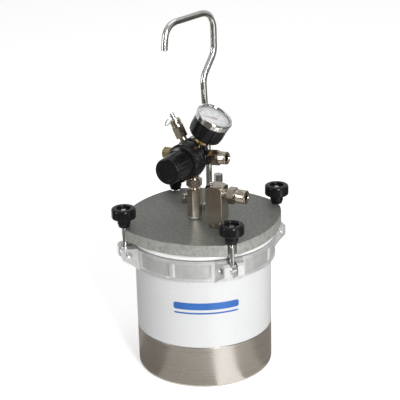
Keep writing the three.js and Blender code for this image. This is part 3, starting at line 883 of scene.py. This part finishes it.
def hook():
    foot = over("hook_nut")
    a = math.radians(HOOK_HEADING)

    def at(along, z):
        return (foot.x + along * math.cos(a), foot.y + along * math.sin(a), z)

    path = bent([at(0, 163), at(0, 226), at(6, 323), at(-12.5, 347), at(-12.5, 392), at(61.5, 389.6),
                 at(64.5, 363.4)], [60, 22, 20, 21, 19], steps=16)
    piece(thing("hanging_hook", sweep(path, HOOK_R, sides=32, domed=True)), "root", "zinc", ZINC,
          "hook_handle",
          sharp=50)
    turned("jam_nut", [
        (HOOK_R + 0.25, 172.8, 0.1), hexagon(13, 172.8, top("hook_nut"), 10),
        (HOOK_R + 0.25, top("hook_nut"), 0.1),
    ], placed(foot), "root", "zinc", ZINC, "hook_nut", n=72, phase=10, closed=True)


# ---------------------------------------------------------------- regulator
BODY_R = 19.6
BOSS_L = 20.5
SIDE_T, PORT_T, CAP_T = 1.0, 3.0, -4.0
INLET_ANGLE, CAP_ANGLE, SIDE_PLUG_ANGLE = 6.0, 95.0, 181.0
CAP_L = 18.0


def along_axis():
    return placed(REGULATOR, KNOB_AXIS, RIGHT)


def regulator_body():
    at = along_axis()
    body = thing("regulator_casting", revolve([
        (0, -9), (13.2, -9, 0.8), (14, -8.2, 0.6), (14, 4.4, 1.2), (16.4, 5, 0.8), (BODY_R, 7.4, 1.2),
        (BODY_R, 13.2, 0.5), (BODY_R - 0.9, 13.6, 0.3), (BODY_R - 0.9, 14.4, 0.3), (BODY_R, 14.8, 0.5),
        (BODY_R, 17, 0.5), (0, 17),
    ], n=128), at)
    ports = (
        (port_direction(INLET_ANGLE), SIDE_T, 8.4, 6.3, BOSS_L),
        (port_direction(SIDE_PLUG_ANGLE), SIDE_T, 8.4, 4.8, BOSS_L),
        (GAUGE_OUT, PORT_T, 7.6, 4.8, BOSS_L),
        (port_direction(CAP_ANGLE), CAP_T, 4.8, 3.3, CAP_L),
        (VALVE_OUT, PORT_T, 6.8, 4.6, BOSS_L),
        (-UP, 0.0, 8.0, 5.5, BOSS_L),
    )
    for out, along, boss, _, end in ports:
        joined(body, thing("boss", revolve([(0, 6), (boss, 6), (boss, end - 1.6, 0.3),
                                            (boss - 0.8, end - 0.4, 0.3),
                                            (0, end - 0.4)], n=64), port(out, along)))
    sockets = [thing("socket", revolve([(0, end - 6), (socket, end - 6), (socket, 40), (0, 40)], n=64,
                                       fillet=0),
                     port(out, along)) for out, along, _, socket, end in ports]
    sockets.append(thing("spot_face", revolve([(0, CAP_L - 0.3), (4.7, CAP_L - 0.3), (4.7, 40), (0, 40)],
                                              n=48),
                         port(port_direction(CAP_ANGLE), CAP_T)))
    for r, z0, z1 in ((14, 11, 20), (2.2, 0, 20), (6.2, -20, 4)):
        sockets.append(thing("chamber", revolve([(0, z0), (r, z0), (r, z1), (0, z1)], n=64, fillet=0), at))
    cut(body, *sockets)
    piece(body, "root", "regulator_black", BLACK_PAINT, "regulator_body", sharp=36)


def regulator_bonnet():
    turned("regulator_cap", [
        (10, 18.2), (BODY_R, 18.2, 0.6), (BODY_R, 21.6, 0.8), (BODY_R - 1.8, 22.8, 0.6), (17.2, 23.9, 0.4),
        (16.9, 24.5, 0.3), (12.2, 25.2, 0.8), (12.2, 35, 0.5), (3.7, 35, 0.3), (3.7, 32.4), (10, 32.4),
    ], along_axis(), "root", "regulator_black", BLACK_PAINT, "regulator_bonnet", n=128, closed=True)
    turned("diaphragm_disc", [(0, 17.35), (8, 17.35, 0.2), (9, 17.25, 0.2), (17, 17.3), (17, 17.95),
                              (9, 17.9, 0.2),
                              (8, 18.0, 0.2), (0, 18.0)],
           along_axis(), "root", "gasket_rubber", RUBBER, "regulator_diaphragm", n=96, fillet=0.1)


def coil(name, node, at, r, wire, z0, z1, turns):
    mesh = sweep(helix(r, z0 + wire, z1 - wire, turns), wire, sides=10)
    piece(thing(name, mesh, at), "root", "bright_steel", BRIGHT, node, sharp=60)


def regulator_inside():
    at = along_axis()
    coil("range_spring", "regulator_spring", at, 7.0, 1.0, 18.4, 24.3, 3.5)
    coil("seat_spring", "poppet_spring", at, 3.4, 0.4, -6.6, -0.2, 5)
    turned("seat_poppet", [(0, 1.2), (4.4, 1.2, 0.4), (4.4, 3.4, 0.4), (1.6, 3.7, 0.6), (1.6, 16.8, 0.5),
                           (0, 16.8)], at, "poppet_valve", "brass", BRASS, "poppet_valve", n=48)
    turned("range_screw", [(0, 24.5), (8.6, 24.5, 0.4), (8.6, 26.2, 0.4), (3.2, 26.3), (3.2, 29),
                           thread(3.2, 29.2, 46.4, 1.25, 0.5), (2.6, 47), (0, 47)],
           at, "adjusting_screw", "pin_steel", PIN_STEEL, "adjusting_screw", n=48)


FLUTES = 16


def regulator_knob():
    def fluted(t, r, share):
        def place(a):
            wave = abs(math.sin(a * FLUTES / 2))
            groove = max(0.0, 1 - wave / 0.55)
            return r - 0.9 * share * groove * groove * (3 - 2 * groove), t
        return [place]

    run = [fluted(t, 14.75 - 0.6 * (t - 29.5) / 20, share) for t, share in
           ((29.4, 0), (30.0, 0.5), (30.8, 1), (34, 1), (38, 1), (42, 1), (45.4, 1), (46.2, 0.5), (46.8, 0))]
    made = thing("regulator_grip", revolve([
        (3.7, 36.6), (12.7, 36.6), (12.7, 26.4, 0.3), (14.3, 26.4, 0.7), (14.8, 28.6, 0.5), *run,
        (14.25, 47.4), (14.15, 49.4, 0.3), (13.75, 49.8, 0.25), (13.75, 50.6, 0.25), (14.1, 51.0, 0.3),
        (14.05, 55.5, 1.5), (9.8, 55.5, 0.3), (9.4, 55.1, 0.3), (0, 55.1), (0, 51.5), (3.7, 51.5),
    ], n=256, closed=True), along_axis())
    piece(made, "regulator_knob", "knob_black", GLOSS_BLACK, "regulator_knob", sharp=36)


def regulator_ports():
    inlet = port(port_direction(INLET_ANGLE), SIDE_T)
    turned("air_nipple", [
        (4.1, 41.8, 0.2), (3.6, 41.2), (3.6, 15), (5.9, 15), (5.9, 23), hexagon(15.2, 23, 32), (5.8, 32),
        (5.8, 33.2), thread(6.9, 33.2, 41.2, 1.4, 0.65), (6.3, 41.8),
    ], inlet, "root", "nickel", NICKEL, "inlet_fitting", n=96, closed=True)
    turned("pipe_plug", [
        (0, 15), (4.4, 15), (4.4, 24.4), hexagon(12, 24.4, 35), (5, 35, 0.2), (5, 36.2, 1.0), (2, 36.4, 0.4),
        (0, 36.4),
    ], port(port_direction(SIDE_PLUG_ANGLE), SIDE_T), "root", "brass", DULL_BRASS, "side_plug", n=96)
    turned("port_cap", [
        (0, CAP_L - 5.6), (2.9, CAP_L - 5.6), (2.9, CAP_L), (4.4, CAP_L, 0.2), (4.4, CAP_L + 2, 0.9),
        (3.2, CAP_L + 3, 0.5), (0, CAP_L + 3),
    ], port(port_direction(CAP_ANGLE), CAP_T), "root", "pin_steel", PIN_STEEL, "gauge_port_plug", n=64)
    turned("valve_bottom_cap", [
        (0, -15), (8.3, -15, 0.8), (9.5, -13.9, 0.5), (9.5, -9.6, 0.5), (9, -9.25), (5.9, -9.2), (5.9, -7),
        (0, -7),
    ], along_axis(), "root", "regulator_black", BLACK_PAINT, "valve_cap", n=96)


# ---------------------------------------------------------------- gauge
GAUGE_FRONT = 58.4
GAUGE_BACK = GAUGE_FRONT - 28.3
DIAL_FACE = GAUGE_FRONT - 4.6
SCALE_START, SCALE_SWEEP = 225.0, -270.0


def gauge_frame():
    return placed(REGULATOR + KNOB_AXIS * PORT_T, GAUGE_OUT, KNOB_AXIS) @ Matrix.Rotation(math.radians(90),
                                                                                          4, "Z")


def gauge():
    at = gauge_frame()
    neck = thing("gauge_connector", revolve([
        (0, 15), (4.4, 15), (4.4, 21.5), hexagon(11.4, 21.5, 26.5), (4.4, 26.5), (4.4, GAUGE_BACK + 6),
        (0, GAUGE_BACK + 6),
    ], n=96), at)
    stem = thing("stem", prism([(-5, -4), (5, -4), (5, 4), (-5, 4)], GAUGE_BACK + 4, GAUGE_BACK + 12, 0.4),
                 at)
    piece(joined(neck, stem), "root", "brass", BRASS, "gauge_socket", sharp=40)
    rim = GAUGE_FRONT - 3.2
    turned("gauge_shell", [
        (4.7, GAUGE_BACK), (13.5, GAUGE_BACK, 2), (18.2, GAUGE_BACK + 2, 3.2), (19, GAUGE_BACK + 9, 3),
        (19, rim),
        (17.8, rim), (17.8, GAUGE_BACK + 6, 3), (13.2, GAUGE_BACK + 1.3, 2), (4.7, GAUGE_BACK + 1.3),
    ], at, "root", "regulator_black", BLACK_PAINT, "gauge_case", n=128, closed=True)
    turned("gauge_ring", [
        (19.3, GAUGE_FRONT - 7), (20, GAUGE_FRONT - 7, 0.4), (20, GAUGE_FRONT - 1.6, 0.5),
        (19.2, GAUGE_FRONT - 0.3, 0.6), (18.4, GAUGE_FRONT, 0.5), (17.4, GAUGE_FRONT - 0.2, 0.5),
        (16.6, GAUGE_FRONT - 1.6, 0.2), (19.3, GAUGE_FRONT - 1.6, 0.1),
    ], at, "root", "gauge_chrome", CHROME, "gauge_bezel", n=128, closed=True)
    turned("gauge_window", [
        (0, rim + 0.35), (18.9, rim + 0.35, 0.1), (18.9, rim + 1.2, 0.1), (12, rim + 1.32, 0), (0, rim + 1.4),
    ], at, "root", "gauge_glass", GLASS, "gauge_lens", n=96)
    turned("dial_plate", [(1.2, rim - 2), (17.4, rim - 2), (17.4, DIAL_FACE), (1.2, DIAL_FACE)], at, "root",
           "dial_white", DIAL, "gauge_dial", n=96, closed=True, fillet=0.1)
    dial_print(at)
    needle(at, rim)
    turns = [(12.5 * math.cos(a), 12.5 * math.sin(a), GAUGE_BACK + 14)
             for a in (math.radians(-60 + 250 * k / 40) for k in range(41))]
    piece(thing("pressure_tube", sweep(turns, 1.9, sides=16, squash=0.45), at), "root", "brass", BRASS,
          "bourdon_tube", sharp=60)


def dial_print(at):
    """A plain scale from 0 to 60 with a mark at every 2, on the dial's face."""
    mesh = bmesh.new()
    for k in range(31):
        a = math.radians(SCALE_START + SCALE_SWEEP * k / 30)
        big = k % 5 == 0
        bar(mesh, a, 11.9 if big else 13.2, 15.2, 0.32 if big else 0.16)
    for k in range(90):
        a0 = math.radians(SCALE_START + SCALE_SWEEP * k / 90)
        a1 = math.radians(SCALE_START + SCALE_SWEEP * (k + 1) / 90)
        arc(mesh, a1, a0, 15.2, 15.5)
    piece(thing("dial_scale", mesh, at), "root", "dial_white", PRINT)
    for k in range(7):
        a = math.radians(SCALE_START + SCALE_SWEEP * k / 6)
        number(f"dial_number_{k}", str(k * 10), at @ Matrix.Translation(
            (9.6 * math.cos(a), 9.6 * math.sin(a), DIAL_FACE + 0.04)), 3.6)


def slab(mesh, corners):
    low = [mesh.verts.new((x, y, DIAL_FACE + 0.01)) for x, y in corners]
    high = [mesh.verts.new((x, y, DIAL_FACE + 0.07)) for x, y in corners]
    join_rings(mesh, low, high)
    mesh.faces.new(low)
    mesh.faces.new(high)


def bar(mesh, angle, r0, r1, half):
    out = Vector((math.cos(angle), math.sin(angle)))
    side = Vector((-out.y, out.x)) * half
    slab(mesh, [out * r0 - side, out * r1 - side, out * r1 + side, out * r0 + side])


def arc(mesh, a0, a1, r0, r1):
    slab(mesh, [(r0 * math.cos(a0), r0 * math.sin(a0)), (r1 * math.cos(a0), r1 * math.sin(a0)),
                (r1 * math.cos(a1), r1 * math.sin(a1)), (r0 * math.cos(a1), r0 * math.sin(a1))])


def number(name, text, at, size):
    curve = bpy.data.curves.new(name, "FONT")
    curve.body = text
    curve.size = size
    curve.align_x = curve.align_y = "CENTER"
    curve.extrude = 0.03
    made = bpy.data.objects.new(name, curve)
    bpy.context.scene.collection.objects.link(made)
    data = bpy.data.meshes.new_from_object(made.evaluated_get(bpy.context.evaluated_depsgraph_get()))
    bpy.data.objects.remove(made)
    data.transform(Matrix.Scale(MM, 4) @ at)
    made = bpy.data.objects.new(name, data)
    bpy.context.scene.collection.objects.link(made)
    piece(made, "root", "dial_white", PRINT)


def needle(at, rim):
    turn = Matrix.Rotation(math.radians(SCALE_START), 4, "Z")
    hand = thing("needle", prism([(-4.5, -0.8), (-3.4, -0.95), (0, -0.7), (12.4, -0.16), (12.4, 0.16),
                                  (0, 0.7),
                                  (-3.4, 0.95), (-4.5, 0.8)], rim - 1.0, rim - 0.5, 0.12, 2), at @ turn)
    hub = thing("hub", revolve([(0, rim - 6), (0.8, rim - 6), (0.8, rim - 1.05), (1.9, rim - 1.05, 0.1),
                                (1.9, rim - 0.5, 0.2), (1.0, rim - 0.28, 0.1), (0, rim - 0.28)], n=48), at)
    piece(joined(hand, hub), "gauge_needle", "needle_red", RED, "gauge_needle", sharp=40)


# ---------------------------------------------------------------- safety valve
def safety_valve():
    at = port(VALVE_OUT, PORT_T)
    body = thing("relief_valve", revolve([
        (2.2, 15), (4.2, 15), (4.2, 23.6), hexagon(12.4, 23.6, 35.4), (6.6, 35.4, 0.2), (6.6, 37, 0.4),
        (6, 37.2, 0.1), (6, 43.2, 0.7), (5.4, 43.8, 0.3), (5.4, 45, 0.5), (2.5, 45, 0.2), (2.5, 43),
        (4.6, 43),
        (4.6, 26), (2.2, 26),
    ], n=96, closed=True), at)
    vents = []
    for k in range(4):
        side = at @ Matrix.Rotation(math.radians(45 + 90 * k), 4, "Z") @ placed((0, 0, 39.6), (1, 0, 0), UP)
        vents.append(thing("vent", revolve([(0, 3), (1.1, 3), (1.1, 9), (0, 9)], n=24, fillet=0), side))
    cut(body, *vents)
    piece(body, "root", "nickel", NICKEL, "safety_valve_body", sharp=38)
    coil("relief_spring", "safety_valve_spring", at, 3.35, 0.5, 32.4, 42.7, 6)
    hole = placed(spot("pull_ring_swing"), KNOB_AXIS)
    stem = thing("relief_stem", revolve([
        (0, 26.6), (4, 26.6, 0.3), (4, 29, 0.3), (2.2, 29.2), (2.2, 51.8, 0.5), (0, 51.8),
    ], n=64), at)
    cut(stem, thing("hole", revolve([(0, -8), (1, -8), (1, 8), (0, 8)], n=24, fillet=0), hole))
    piece(stem, "safety_valve_stem", "pin_steel", PIN_STEEL, "safety_valve_stem")


def pull_ring():
    low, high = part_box("pull_ring")
    centre = (low + high) / (2 * MM)
    hole = spot("pull_ring_swing")
    down = (centre - hole) - KNOB_AXIS * (centre - hole).dot(KNOB_AXIS)
    r = 7.2
    down.normalize()
    middle_point = hole + down * r
    points = []
    for k in range(64):
        a = 2 * math.pi * k / 64
        points.append(middle_point + down * r * math.cos(a) + KNOB_AXIS * r * math.sin(a))
    piece(thing("split_ring", sweep(points, 0.6, sides=12, closed=True)), "pull_ring", "bright_steel", BRIGHT,
          "pull_ring", sharp=60)


# ---------------------------------------------------------------- studio
def area_light(name, at, target, size, power, size_y=None, diffuse=True):
    data = bpy.data.lights.new(name, "AREA")
    data.energy = power
    data.shape = "RECTANGLE"
    data.size = size
    data.size_y = size_y or size
    made = bpy.data.objects.new(name, data)
    made.location = at
    made.rotation_mode = "QUATERNION"
    made.rotation_quaternion = (Vector(target) - Vector(at)).to_track_quat("-Z", "Y")
    made.visible_diffuse = diffuse
    bpy.context.scene.collection.objects.link(made)


VIEW_AZIMUTH, VIEW_ELEVATION, VIEW_ROLL = 25.36, 22.49, -1.45
VIEW_DISTANCE = 1.3383
TARGET = Vector((0, 0, 0.150))
AIM_RIGHT, AIM_UP = -0.0021, 0.02776  # how far the camera looks past the target, as slopes


def towards_camera(azimuth, elevation):
    a, e = math.radians(azimuth), math.radians(elevation)
    return Vector((math.sin(a) * math.cos(e), -math.cos(a) * math.cos(e), math.sin(e)))


def camera():
    data = bpy.data.cameras.new("camera")
    data.sensor_width = 36
    data.lens = 109.7
    data.clip_start, data.clip_end = 0.05, 50
    made = bpy.data.objects.new("camera", data)
    back = towards_camera(VIEW_AZIMUTH, VIEW_ELEVATION)
    a = math.radians(VIEW_AZIMUTH)
    right = Vector((math.cos(a), math.sin(a), 0))
    up = right.cross(-back)
    roll = math.radians(VIEW_ROLL)
    x = right * math.cos(roll) + up * math.sin(roll)
    y = up * math.cos(roll) - right * math.sin(roll)
    behind = (back - x * AIM_RIGHT - y * AIM_UP).normalized()
    x = (x - behind * x.dot(behind)).normalized()
    turn = Matrix((x, behind.cross(x), behind)).transposed().to_4x4()
    turn.translation = TARGET + back * VIEW_DISTANCE
    made.matrix_world = turn
    bpy.context.scene.collection.objects.link(made)
    bpy.context.scene.camera = made


def screen(name, azimuths, inner, outer, tone, only_gloss=False):
    """A screen from one ring (radius, height) to another over some azimuths, for metal to mirror.

    The camera doesn't see it. With only_gloss it casts no shadow and dims no plain surface either.
    """
    mesh = bmesh.new()
    count = 32
    rows = []
    for radius, z in (inner, outer):
        row = []
        for i in range(count + 1):
            a = math.radians(VIEW_AZIMUTH + azimuths[0] + (azimuths[1] - azimuths[0]) * i / count)
            row.append(mesh.verts.new((radius * math.sin(a), -radius * math.cos(a), z)))
        rows.append(row)
    for i in range(count):
        mesh.faces.new((rows[0][i], rows[0][i + 1], rows[1][i + 1], rows[1][i]))
    data = bpy.data.meshes.new(name)
    mesh.to_mesh(data)
    mesh.free()
    made = bpy.data.objects.new(name, data)
    bpy.context.scene.collection.objects.link(made)
    made.visible_camera = False
    made.visible_diffuse = not only_gloss
    made.visible_shadow = not only_gloss
    data.materials.append(material(name, tone, tone, 0.0, 0.9, grain=10, bump=0.0, blotch=2))


def studio():
    mesh = bmesh.new()
    bmesh.ops.create_grid(mesh, x_segments=8, y_segments=8, size=30)
    data = bpy.data.meshes.new("floor")
    mesh.to_mesh(data)
    mesh.free()
    floor = bpy.data.objects.new("floor", data)
    floor.location.z = -0.0003
    bpy.context.scene.collection.objects.link(floor)
    data.materials.append(material("studio floor", (0.93, 0.93, 0.93), (0.95, 0.95, 0.95), 0.0, 0.8, grain=30,
                                   bump=0.0, blotch=2))
    shader = data.materials[0].node_tree.nodes["Principled BSDF"]
    shader.inputs["Emission Color"].default_value = (1, 1, 1, 1)
    shader.inputs["Emission Strength"].default_value = 0.4
    screen("screen_room", (-64, 64), (2.6, 0.02), (2.6, 2.0), (0.15, 0.135, 0.12))
    screen("screen_left", (-102, -80), (1.5, 0.02), (1.5, 1.6), (0.05, 0.05, 0.05), True)
    screen("screen_right", (80, 102), (1.5, 0.02), (1.5, 1.6), (0.05, 0.05, 0.05), True)
    # Low over the floor: the far ones show in the fittings, the near ones in the cup's steel band.
    far, near = ((0.34, 0.004), (2.55, 0.015)), ((0.0762, 0.0008), (0.33, 0.004))
    low = (
        (far, -112, -76, (0.07, 0.065, 0.055)), (far, -76, -60, (0.34, 0.31, 0.27)),
        (far, -60, 36, (0.11, 0.093, 0.073)), (far, 62, 150, (0.10, 0.093, 0.07)),
        (near, -150, -100, (0.46, 0.44, 0.41)), (near, -100, -50, (0.28, 0.26, 0.24)),
        (near, -50, 10, (0.52, 0.49, 0.45)), (near, 36, 66, (0.54, 0.51, 0.47)),
        (near, 66, 130, (0.34, 0.32, 0.29)), (near, 130, 160, (0.48, 0.46, 0.43)),
    )
    for index, ((inner, outer), start, end, tone) in enumerate(low):
        screen(f"screen_low_{index}", (start, end), inner, outer, tone, True)
    area_light("key", TARGET + towards_camera(VIEW_AZIMUTH + 20, 20) * 1.7, TARGET, 0.36, 27, size_y=1.1)
    area_light("fill", TARGET + towards_camera(VIEW_AZIMUTH - 66, 14) * 1.8, TARGET, 0.25, 7, size_y=1.2,
               diffuse=False)
    area_light("over", TARGET + Vector((0.1, 0.4, 1.8)), TARGET, 1.5, 6)
    world = bpy.data.worlds.new("studio")
    bpy.context.scene.world = world
    world.use_nodes = True
    world.node_tree.nodes["Background"].inputs["Color"].default_value = (1, 1, 1, 1)
    world.node_tree.nodes["Background"].inputs["Strength"].default_value = 0.54


camera()
cup()
clamp_ring()
for name in CORNERS:
    swing_bolt(name)
lid()
air_post()
outlet()
small_fittings()
hook()
regulator_body()
regulator_bonnet()
regulator_inside()
regulator_knob()
regulator_ports()
gauge()
safety_valve()
pull_ring()
studio()
bpy.context.scene.view_settings.view_transform = "Standard"
